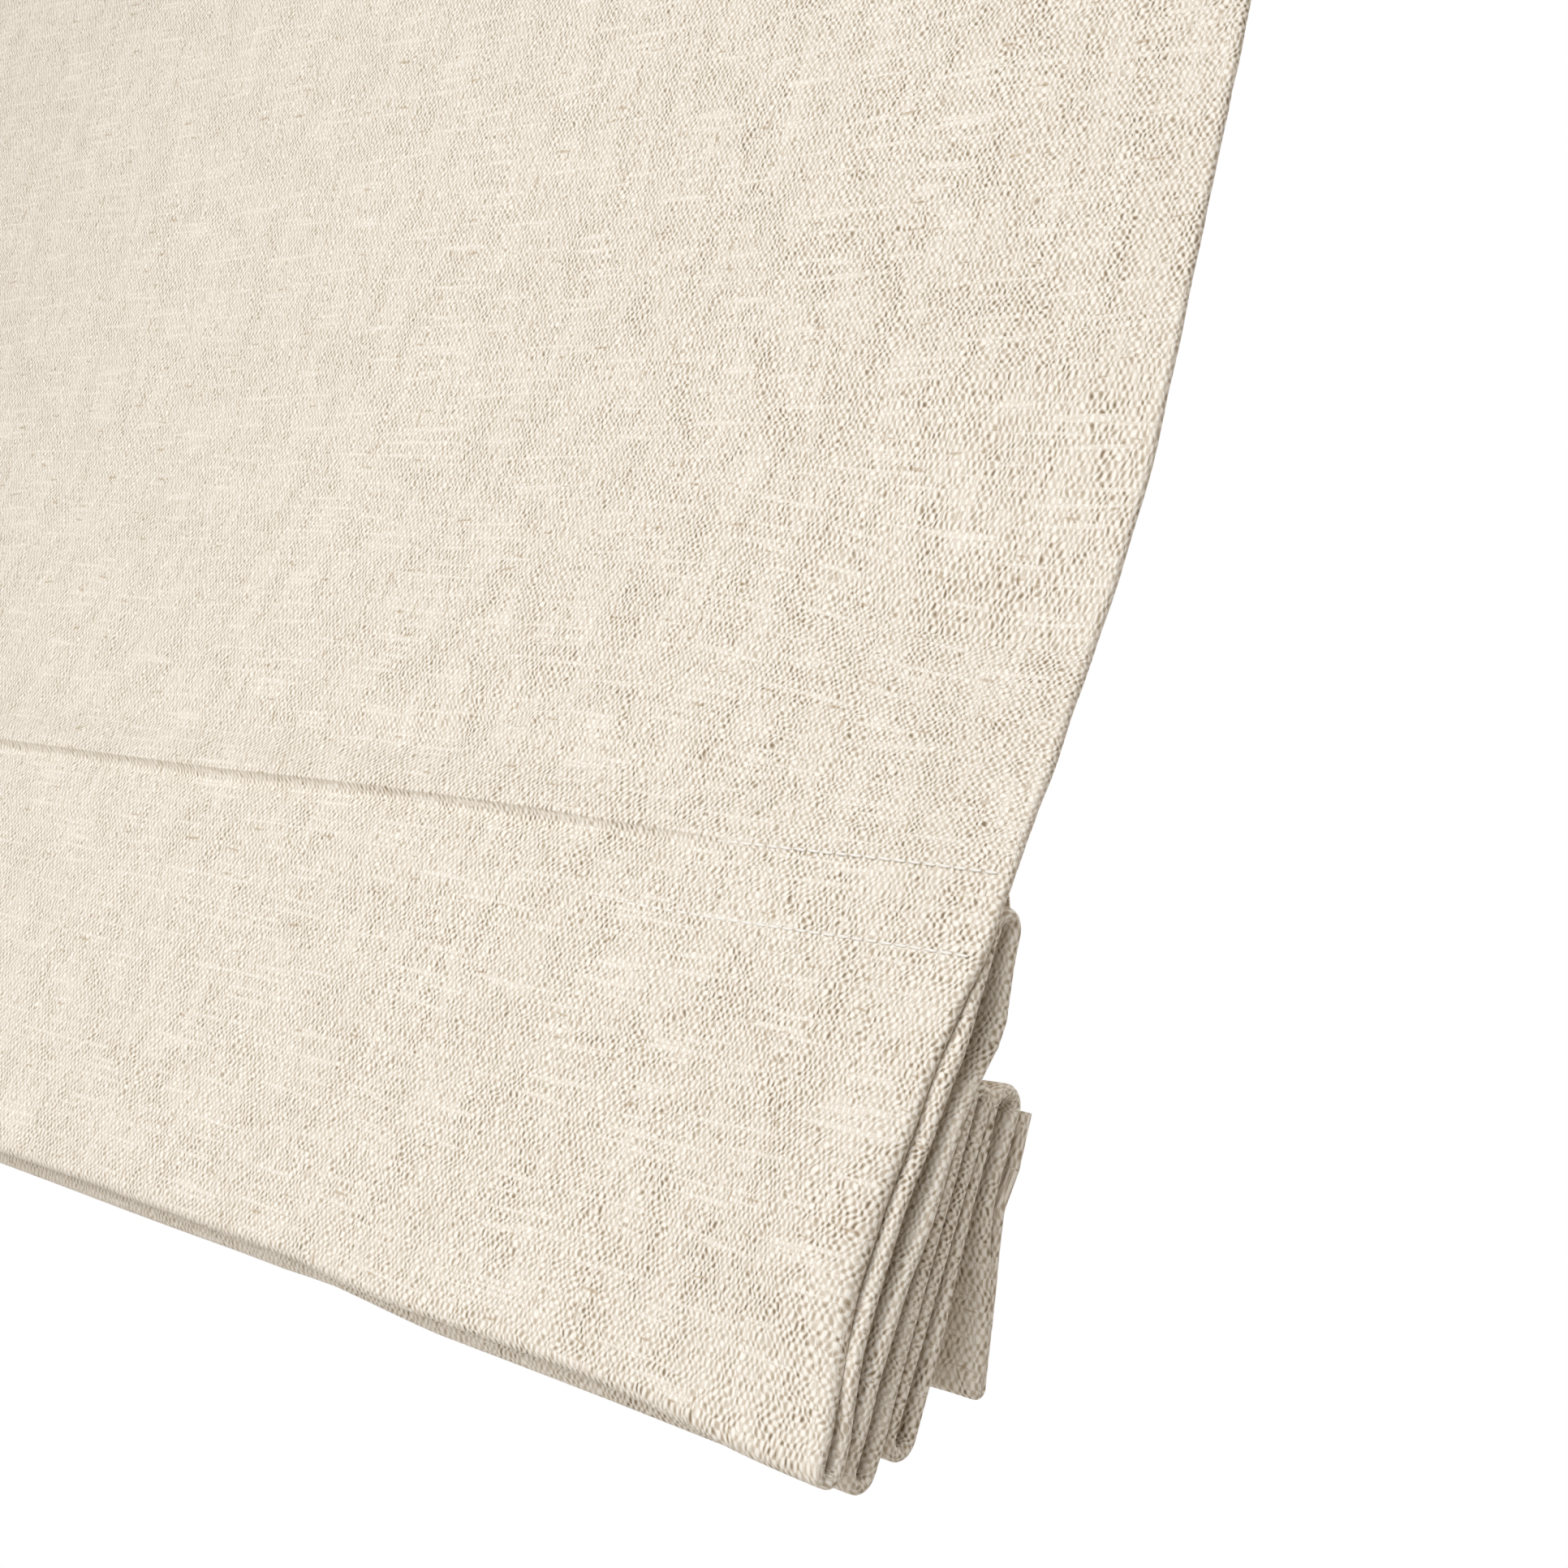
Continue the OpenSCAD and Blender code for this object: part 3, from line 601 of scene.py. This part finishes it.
FLECK_BROWN = (0.42, 0.30, 0.17)
GAP_SHADE = (0.17, 0.125, 0.075)


def make_linen(name, low, mid, high, end_pitch, pick_pitch, openness):
    """Woven linen on the flat UV map, a little more open to the right. Its colour paints shade and highlight
    into the weave: the low colour in the weave's low parts and the gap colour in its openings are painted
    shade, and the high colour on the yarns' crowns is painted highlight, mixed with the yarns' own uneven
    tone.
    """
    material, add, wire, m, shader = new_material(name)
    flat = add("ShaderNodeUVMap")
    flat.uv_map = "flat"
    weave = add("ShaderNodeGroup")
    weave.node_tree = WEAVE
    weave.inputs["End Pitch"].default_value = end_pitch
    weave.inputs["Pick Pitch"].default_value = pick_pitch
    across = add("ShaderNodeSeparateXYZ")
    wire(flat.outputs[0], across.inputs[0])
    wire(ranged(add, wire, across.outputs[0], 0.1, 0.42, 0.75 * openness, 1.1 * openness),
         weave.inputs["Openness"])
    wire(flat.outputs[0], weave.inputs["Vector"])
    # Painted shade in the weave's low parts and openings, painted highlight on the yarns' crowns; the yarns'
    # own uneven tone is mixed into the crowns' share.
    body = mixed(add, wire, ranged(add, wire, weave.outputs["Height"], 0.1, 0.75), low, mid)
    crown_light_and_tone = m("ADD", weave.outputs["Height"], m("MULTIPLY", weave.outputs["Tone"], 0.32))
    yarn = mixed(add, wire, ranged(add, wire, crown_light_and_tone, 0.52, 1.08), body, high)
    fleck = mixed(add, wire, m("MULTIPLY", weave.outputs["Fleck"], 0.5), yarn, FLECK_BROWN)
    colour = mixed(add, wire, m("MULTIPLY", weave.outputs["Gap"], 0.8), fleck, GAP_SHADE)
    wire(colour, shader.inputs["Base Color"])
    shader.inputs["Roughness"].default_value = 0.92
    shader.inputs["Specular IOR Level"].default_value = 0.2
    shader.inputs["Sheen Weight"].default_value = 0.08
    shader.inputs["Sheen Roughness"].default_value = 0.5
    bumped(add, wire, shader, weave.outputs["Height"], 0.3 * mm, 0.7)
    return material


def make_grained(name, colour, darker, roughness, grain, depth, coat=0.0):
    """Paint or plastic with a fine grain."""
    material, add, wire, _, shader = new_material(name)
    place = add("ShaderNodeTexCoord")
    group = add("ShaderNodeGroup")
    group.node_tree = GRAIN
    group.inputs["Grain"].default_value = grain
    wire(place.outputs["Object"], group.inputs["Vector"])
    mottle = ranged(add, wire, group.outputs["Mottle"], 0.35, 0.65)
    wire(mixed(add, wire, mottle, darker, colour), shader.inputs["Base Color"])
    wire(ranged(add, wire, group.outputs["Mottle"], 0.35, 0.65, roughness + 0.08, roughness - 0.05),
         shader.inputs["Roughness"])
    shader.inputs["Coat Weight"].default_value = coat
    bumped(add, wire, shader, group.outputs["Height"], depth)
    return material


def make_metal(name, colour, darker, roughness, lines):
    """Bare metal with fine lines along x."""
    material, add, wire, _, shader = new_material(name)
    place = add("ShaderNodeTexCoord")
    group = add("ShaderNodeGroup")
    group.node_tree = DRAWN
    group.inputs["Lines"].default_value = lines
    wire(place.outputs["Object"], group.inputs["Vector"])
    mottle = ranged(add, wire, group.outputs["Mottle"], 0.36, 0.64)
    wire(mixed(add, wire, mottle, darker, colour), shader.inputs["Base Color"])
    wire(ranged(add, wire, group.outputs["Mottle"], 0.36, 0.64, roughness + 0.12, roughness - 0.06),
         shader.inputs["Roughness"])
    shader.inputs["Metallic"].default_value = 1.0
    bumped(add, wire, shader, group.outputs["Height"], 0.012 * mm)
    return material


def make_yarn(name, colour, darker, scale, slant):
    """Twisted or braided yarn, from Object coordinates, with painted shade in the twist's grooves."""
    material, add, wire, m, shader = new_material(name)
    place = add("ShaderNodeTexCoord")
    turned = add("ShaderNodeMapping")
    turned.inputs["Rotation"].default_value = slant
    wire(place.outputs["Object"], turned.inputs["Vector"])
    twist = add("ShaderNodeTexWave")
    twist.inputs["Scale"].default_value = scale
    twist.inputs["Distortion"].default_value = 1.2
    twist.inputs["Detail Scale"].default_value = 1.5
    wire(turned.outputs[0], twist.inputs["Vector"])
    fuzz = noise_node(add, wire, place.outputs["Object"], 2600.0, 3.0)
    height = m("ADD", m("MULTIPLY", twist.outputs["Fac"], 0.75), m("MULTIPLY", fuzz, 0.25))
    # Painted shade: the twist's grooves take the darker colour.
    wire(mixed(add, wire, height, darker, colour), shader.inputs["Base Color"])
    shader.inputs["Roughness"].default_value = 0.85
    shader.inputs["Sheen Weight"].default_value = 0.2
    bumped(add, wire, shader, height, 0.08 * mm)
    return material


LINEN = make_linen(
    "natural_linen", low=(0.50, 0.42, 0.32), mid=(0.87, 0.813, 0.73), high=(0.97, 0.938, 0.88),
    end_pitch=0.75 * mm, pick_pitch=1.2 * mm, openness=1.0)
# The pocket strips are the cloth's linen in darker colours: painted shade on the strips that lie inside the
# folds.
POCKET_LINEN_SHADED = make_linen(
    "pocket_linen", low=(0.42, 0.34, 0.24), mid=(0.72, 0.65, 0.53), high=(0.86, 0.81, 0.71),
    end_pitch=0.70 * mm, pick_pitch=0.95 * mm, openness=0.6)
THREAD = make_yarn("sewing_thread", (0.98, 0.97, 0.94), (0.91, 0.88, 0.82), scale=900.0, slant=(0, 0.6, 0.4))
CORD = make_yarn("braided_cord", (0.88, 0.87, 0.83), (0.62, 0.61, 0.57), scale=420.0, slant=(0.5, 0.5, 0))
TAPE = make_yarn("hook_and_loop", (0.86, 0.85, 0.82), (0.60, 0.59, 0.56), scale=520.0, slant=(0, 0.8, 0))
RAIL_PAINT = make_grained(
    "rail_paint", (0.83, 0.82, 0.79), (0.79, 0.78, 0.75), roughness=0.42, grain=1800.0, depth=0.02 * mm,
    coat=0.15)
WHITE_PLASTIC = make_grained(
    "white_plastic", (0.86, 0.86, 0.84), (0.81, 0.81, 0.79), roughness=0.5, grain=2600.0, depth=0.03 * mm)
GREY_PLASTIC = make_grained(
    "grey_plastic", (0.62, 0.62, 0.60), (0.56, 0.56, 0.54), roughness=0.5, grain=2600.0, depth=0.03 * mm)
ROD_GLAZE = make_grained(
    "glass_fibre_rod", (0.88, 0.88, 0.85), (0.80, 0.80, 0.76), roughness=0.35, grain=3000.0, depth=0.01 * mm,
    coat=0.3)
RING_PLASTIC = make_grained(
    "ring_plastic", (0.92, 0.92, 0.90), (0.87, 0.87, 0.84), roughness=0.28, grain=1500.0, depth=0.005 * mm,
    coat=0.4)
BRACKET_STEEL = make_metal(
    "bracket_zinc", (0.66, 0.67, 0.68), (0.52, 0.53, 0.54), roughness=0.38, lines=700.0)
SPRING_STEEL = make_metal(
    "spring_steel", (0.46, 0.48, 0.53), (0.36, 0.37, 0.41), roughness=0.3, lines=2200.0)
SHAFT_STEEL = make_metal(
    "shaft_steel", (0.62, 0.63, 0.64), (0.50, 0.51, 0.52), roughness=0.32, lines=2400.0)
BAR_ALUMINIUM = make_metal(
    "bar_aluminium", (0.80, 0.81, 0.82), (0.70, 0.71, 0.72), roughness=0.36, lines=1800.0)

FINISH = {
    "linen": LINEN, "pocket_linen": POCKET_LINEN_SHADED, "rail_paint": RAIL_PAINT, "white_plastic": WHITE_PLASTIC,
    "grey_plastic": GREY_PLASTIC, "bracket_steel": BRACKET_STEEL, "spring_steel": SPRING_STEEL,
    "shaft_steel": SHAFT_STEEL, "rod_fibre": ROD_GLAZE, "ring_plastic": RING_PLASTIC, "cord": CORD,
    "tape": TAPE, "bar_aluminium": BAR_ALUMINIUM}
for entry in frame["record"]["subparts"]:
    node = frame["nodes"][entry["node"]]
    node.data.materials.clear()
    node.data.materials.append(FINISH[entry["material_slot"]])


def hang_cloth():
    columns = hemmed_section()
    bends = [bends_at(x) for x, push, flat in columns]
    heads = [headings(b) for b in bends]

    def place(i, j):
        x, push, flat = columns[i]
        spot = CLOTH_PLACES[j]
        point = cloth_point(x, CLOTH_ROWS[j], spot, bends[i], heads[i], push)
        uneven = 0.7 * mm * drift(spot * 0.05, 0.2, 21.0 + (x > 0))
        point.x += math.copysign(ease(EDGE - 18, EDGE, abs(x)) * uneven, x)
        point.x -= drawn_in(spot) * mm * ease(EDGE - 60, EDGE, x)
        return point

    def flat(i, j):
        return columns[i][2] * mm, -CLOTH_PLACES[j] * mm

    cloth = shaped_grid("linen_cloth", len(columns), len(CLOTH_ROWS), place, flat, LINEN)
    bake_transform(cloth)
    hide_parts("cloth_top_panel", "cloth_folds")


hang_cloth()


def pocket_strip(name, node, bends, reach, end_bends):
    """A sewn strip round a rod, as far as reach to both sides, with its own bends past the rod's ends."""
    rows, places = plan_rows(bends, POCKET_STEP, TURN_STEP, POCKET_STEP)
    half = POCKET_HALF_T
    across = [-reach + 2 * reach * k / POCKET_STEPS for k in range(POCKET_STEPS + 1)]
    columns = [(x, -half) for x in across] + [(x, half) for x in reversed(across)] + [(-reach, -half)]

    def place(i, j):
        x, push = columns[i]
        end = ease(FREE_FROM, reach, abs(x))
        shape = [[a + (b - a) * end for a, b in zip(*pair)] for pair in zip(bends, end_bends)]
        ripple = 0.08 * drift(x * 0.06, places[j] * 0.1, 31.0)
        back, up = row_point(shape, headings(shape), rows[j], push + ripple)
        return Vector((x * mm, SEAM_Y + back * mm, SEAM_Z + up * mm))

    def flat(i, j):
        return columns[i][0] * mm, -places[j] * mm

    strip = shaped_grid(name, len(columns), len(rows), place, flat, POCKET_LINEN_SHADED)
    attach(strip, "stack")
    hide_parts(node)


def strip_round(crest):
    """The bend of a strip round the outside of the cloth's crest."""
    return crest[BACK], crest[UP], crest[RADIUS] - CLOTH_HALF_T - SEWN_GAP - POCKET_HALF_T


def strip_cap(crest):
    """The bend of a strip over the rod that lies on the crest."""
    return crest[BACK], crest[UP] - crest[RADIUS] + CLOTH_HALF_T + ROD_GAP + ROD_R, -POCKET_CAP_R


def beside(bend, angle, ahead):
    """A strip's end on the straight run that touches a bend at an angle, some way ahead."""
    back, up = on_bend(bend, angle, 0)
    return back + ahead * math.cos(angle), up + ahead * math.sin(angle), 0


def sew_pockets():
    front = heading(SEAM, BOTTOM_1) + math.pi / 2
    turn = Matrix.Rotation(front, 2)
    flat_pocket = [(0.85, 0, 0), (2.2, -7.5, -2.1), (0.85, -POCKET_H - 1, 0)]
    leaning = [(*(turn @ Vector(b[:2])), b[RADIUS]) for b in flat_pocket]
    over_loop = [(1.6, -0.6, 0), (3.4, -4.6, -1.6), (7.0, -7.4, 0)]
    pocket_strip("pocket_cloth_1", "rod_pocket_1", leaning, POCKET_EDGE, over_loop)
    reach = ROD_END + 2
    for number, before, crest, after in ((2, BOTTOM_1, CREST_1, BOTTOM_2), (3, BOTTOM_2, CREST_2, BOTTOM_3)):
        around = strip_round(crest)
        bends = [beside(around, heading(before, crest), -POCKET_LEG), strip_cap(crest), around,
                 beside(around, heading(crest, after), POCKET_LEG)]
        pocket_strip(f"pocket_cloth_{number}", f"rod_pocket_{number}", bends, reach, bends)
    cap, around = strip_cap(CREST_3), strip_round(CREST_3)
    bends = [beside(around, heading(around, cap), 0), cap, beside(around, heading(cap, around), 0)]
    pocket_strip("pocket_cloth_4", "rod_pocket_4", bends, reach, bends)


sew_pockets()


STITCH_LENGTH, STITCH_GAP = 3.1, 0.35
STITCH_HALF_DEEP, STITCH_HALF_HIGH = 0.22 * mm, 0.34 * mm


def stitch_row(name, place, half_width, sink):
    """A row of machine stitches along a flat place, sunk into the cloth's face by sink(x), in mm."""
    bm = bmesh.new()
    pitch = STITCH_LENGTH + STITCH_GAP
    count = int(2 * half_width / pitch)
    for k in range(count):
        x = -half_width + (k + 0.5) * pitch
        offset = sink(x) - CLOTH_HALF_T
        a = cloth_at(x - STITCH_LENGTH / 2, place, offset)
        b = cloth_at(x + STITCH_LENGTH / 2, place, offset)
        middle, run = (a + b) / 2, (b - a)
        turn = run.to_track_quat("X", "Z").to_matrix().to_4x4()
        size = Matrix.Diagonal((run.length / 2, STITCH_HALF_DEEP, STITCH_HALF_HIGH, 1))
        tilt = Matrix.Rotation(0.04 * drift(x * 3.1, place, 41.0), 4, "Y")
        bmesh.ops.create_uvsphere(bm, u_segments=6, v_segments=4, radius=1.0,
                                  matrix=Matrix.Translation(middle) @ turn @ tilt @ size
                                  @ Matrix.Rotation(math.pi / 2, 4, "Y"))
    mesh = bpy.data.meshes.new(name)
    bm.to_mesh(mesh)
    bm.free()
    row = link(name, mesh, THREAD)
    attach(row, "stack")


stitch_row("seam_stitches", SEAM_PLACE + 0.6, EDGE - 1, lambda x: 1.1 * ease(420, 340, x) - 0.36)
stitch_row("pocket_stitches", SEAM_PLACE + POCKET_H, EDGE - 1, lambda x: 0.46 * ease(425, 330, x) - 0.2)
stitch_row("hem_stitches", CLOTH_PLACES[-1] - 3.0, EDGE - 2, lambda x: 0.0)


def lift_cord(name, node, x):
    """A braided lift cord, straight from its spool down to its knot."""
    around, along = 13, 60
    strands, twist, relief = 4, 2.1, 0.06
    length = CORD_TOP - CORD_BOTTOM

    def place(i, j):
        angle = 2 * math.pi * i / (around - 1)
        ripple = CORD_R * (1 - relief * math.cos(angle * strands + j * twist))
        return Vector((x + ripple * math.cos(angle), CORD_Y + ripple * math.sin(angle),
                       CORD_BOTTOM + length * j / (along - 1)))

    def flat(i, j):
        return i / (around - 1), j / (along - 1)

    cord = shaped_grid(name, around, along, place, flat, CORD)
    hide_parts(node)
    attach(cord, "headrail")
    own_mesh(cord)


for side, x in zip(("left", "middle", "right"), CORD_X):
    lift_cord(f"braided_cord_{side}", f"lift_cord_{side}", x)


# Floor far below the hung blind, soft light and white surroundings
FLOOR_Z, FLOOR_HALF = -1.45, 1.6
FLOOR_GLOW = 0.3
COOL_WHITE, WARM_WHITE, PLAIN_WHITE = (0.935, 0.965, 1.0), (1.0, 0.985, 0.96), (0.97, 0.98, 1.0)


def white_for_camera(tree):
    """1 where the camera looks, straight or by reflection or through a clear piece, and 0 for the light."""
    path = tree.nodes.new("ShaderNodeLightPath")
    seen = tree.nodes.new("ShaderNodeMath")
    seen.operation = "MAXIMUM"
    tree.links.new(path.outputs["Is Camera Ray"], seen.inputs[0])
    mirror = tree.nodes.new("ShaderNodeMath")
    mirror.operation = "MAXIMUM"
    tree.links.new(path.outputs["Is Glossy Ray"], mirror.inputs[0])
    tree.links.new(path.outputs["Is Transmission Ray"], mirror.inputs[1])
    tree.links.new(mirror.outputs[0], seen.inputs[1])
    return seen.outputs[0]


def set_up_world(level, colour):
    world = bpy.data.worlds.new("white_room")
    bpy.context.scene.world = world
    world.use_nodes = True
    tree = world.node_tree
    tree.nodes.clear()
    light = tree.nodes.new("ShaderNodeBackground")
    light.inputs["Color"].default_value = (*colour, 1)
    light.inputs["Strength"].default_value = level
    white = tree.nodes.new("ShaderNodeBackground")
    white.inputs["Color"].default_value = (1, 1, 1, 1)
    white.inputs["Strength"].default_value = 1.0
    mix = tree.nodes.new("ShaderNodeMixShader")
    tree.links.new(white_for_camera(tree), mix.inputs["Fac"])
    tree.links.new(light.outputs[0], mix.inputs[1])
    tree.links.new(white.outputs[0], mix.inputs[2])
    tree.links.new(mix.outputs[0], tree.nodes.new("ShaderNodeOutputWorld").inputs["Surface"])


def soft_lamp(name, place, target, size, power, colour):
    data = bpy.data.lights.new(name, "AREA")
    data.shape = "RECTANGLE"
    data.size = data.size_y = size
    data.energy = power
    data.color = colour
    lamp = bpy.data.objects.new(name, data)
    bpy.context.scene.collection.objects.link(lamp)
    aim = (Vector(target) - Vector(place)).to_track_quat("-Z", "Y").to_matrix().to_4x4()
    lamp.matrix_world = Matrix.Translation(place) @ aim
    lamp.visible_camera = False


def lay_floor():
    bm = bmesh.new()
    bmesh.ops.create_grid(bm, x_segments=1, y_segments=1, size=FLOOR_HALF,
                          matrix=Matrix.Translation((0, 0, FLOOR_Z)))
    mesh = bpy.data.meshes.new("floor")
    bm.to_mesh(mesh)
    bm.free()
    material, add, wire, m, shader = new_material("floor_white")
    shader.inputs["Base Color"].default_value = (0.86, 0.86, 0.85, 1)
    shader.inputs["Roughness"].default_value = 0.8
    shader.inputs["Emission Color"].default_value = (1, 1, 1, 1)
    wire(m("MULTIPLY", white_for_camera(material.node_tree), FLOOR_GLOW), shader.inputs["Emission Strength"])
    link("floor", mesh, material)


lay_floor()
set_up_world(level=0.31, colour=(1.0, 0.86, 0.69))
soft_lamp("window_light", place=(0.9, -2.3, 0.95), target=(0.3, -0.06, -0.32), size=1.4, power=34,
          colour=COOL_WHITE)
soft_lamp("panel_light", place=(0.27, -0.8, -0.3), target=(0.27, -0.07, -0.3), size=0.5, power=2.1,
          colour=COOL_WHITE)
soft_lamp("floor_light", place=(0.3, -1.6, -1.13), target=(0.25, -0.06, -0.44), size=0.6, power=2.9,
          colour=WARM_WHITE)
soft_lamp("back_light", place=(0.7, 1.9, 0.4), target=(0.0, 0.0, -0.2), size=1.4, power=30,
          colour=PLAIN_WHITE)
bpy.context.scene.view_settings.view_transform = "Standard"
